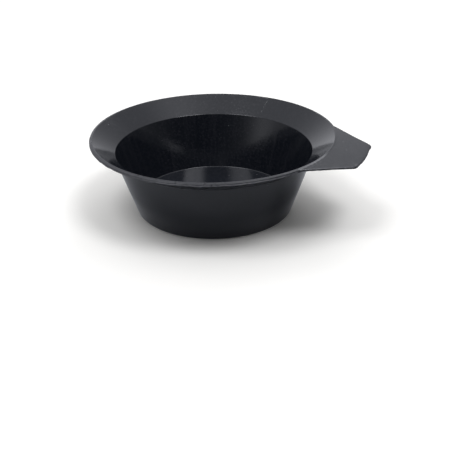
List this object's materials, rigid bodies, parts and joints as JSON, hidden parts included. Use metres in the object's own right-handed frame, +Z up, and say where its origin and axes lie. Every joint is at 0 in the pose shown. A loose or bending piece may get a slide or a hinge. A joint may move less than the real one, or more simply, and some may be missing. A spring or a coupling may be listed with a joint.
{
  "type": "hair tint bowl",
  "caption": "Tapered plastic bowl for mixing hair tint, with a wide flared rim, a solid lip round its edge and a flat thumb tab on one side.",
  "frame": {"origin": "centre of the flat ring that the bowl stands on, in the plane of the table", "axes": "+X from the bowl's axis towards the thumb tab, +Z up along the bowl's axis, +Y to the left of the tab"},
  "size_m": [0.1525, 0.135, 0.043],
  "materials": {
    "black_plastic": "satin black injection-moulded polypropylene with faint flow marks and fine scratches"
  },
  "bodies": {
    "root": {"bowl": "black_plastic"}
  },
  "joints": []
}
